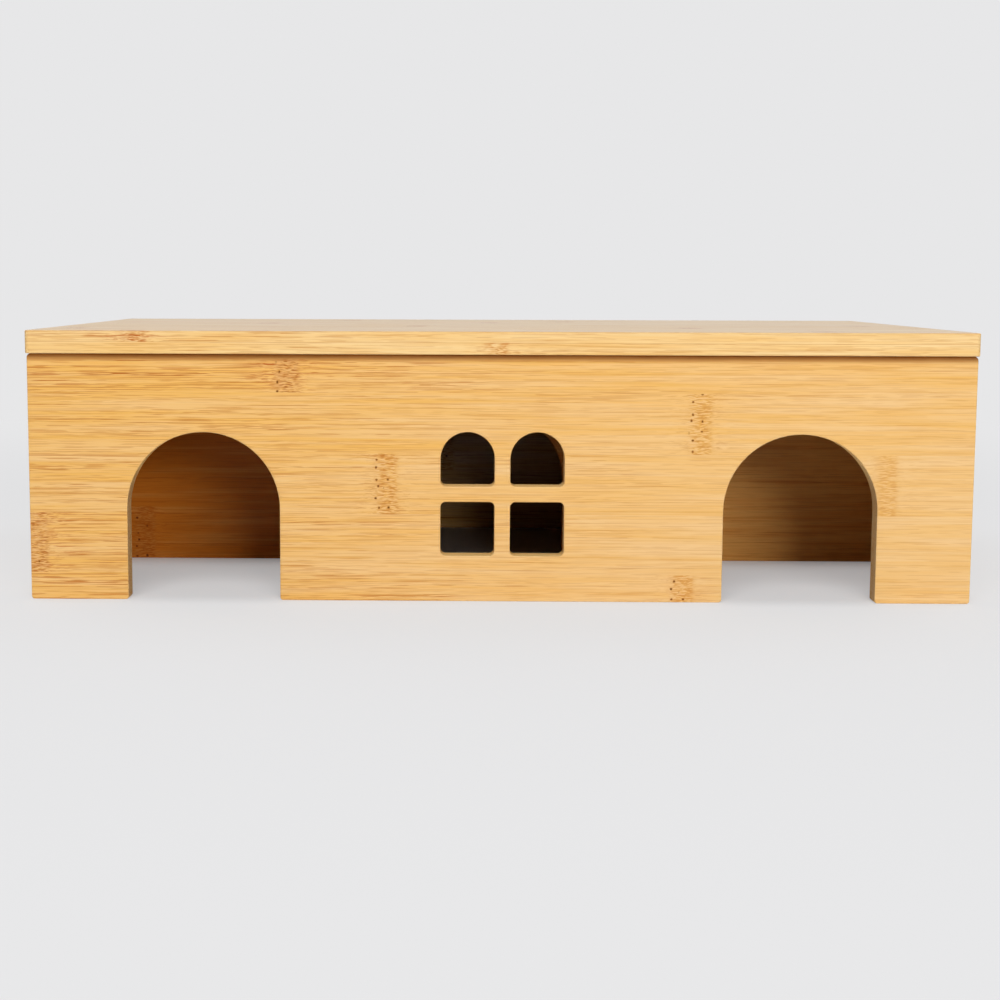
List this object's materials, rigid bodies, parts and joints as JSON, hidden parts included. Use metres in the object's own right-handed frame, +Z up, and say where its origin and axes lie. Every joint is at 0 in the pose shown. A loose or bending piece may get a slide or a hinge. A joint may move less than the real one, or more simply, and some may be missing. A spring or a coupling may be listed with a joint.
{
  "type": "hamster house",
  "caption": "Low laminated-bamboo hamster house: an open-bottomed box of linked chambers with arched doorways, a four-pane window and a lift-off flat lid.",
  "frame": {"origin": "on the floor, under the middle of the house", "axes": "+X to the right along the front as seen by someone facing it, +Y from the front to the back, +Z up"},
  "size_m": [0.3204, 0.201, 0.0918],
  "materials": {
    "bamboo": "edge-glued natural bamboo strips under a thin satin clear lacquer",
    "dowel_wood": "plain sanded hardwood dowel"
  },
  "bodies": {
    "box": {"front_panel": "bamboo", "back_panel": "bamboo", "left_side_panel": "bamboo", "right_side_panel": "bamboo", "long_partition": "bamboo", "left_divider": "bamboo", "right_divider": "bamboo", "front_joint_dowels": "dowel_wood", "back_joint_dowels": "dowel_wood", "lid_pins": "dowel_wood"},
    "lid": {"lid": "bamboo"}
  },
  "joints": [
    {"name": "lid_lift", "type": "slide", "parent": "box", "child": "lid", "axis": [0, 0, 1], "range_m": [0, 0.06]}
  ]
}
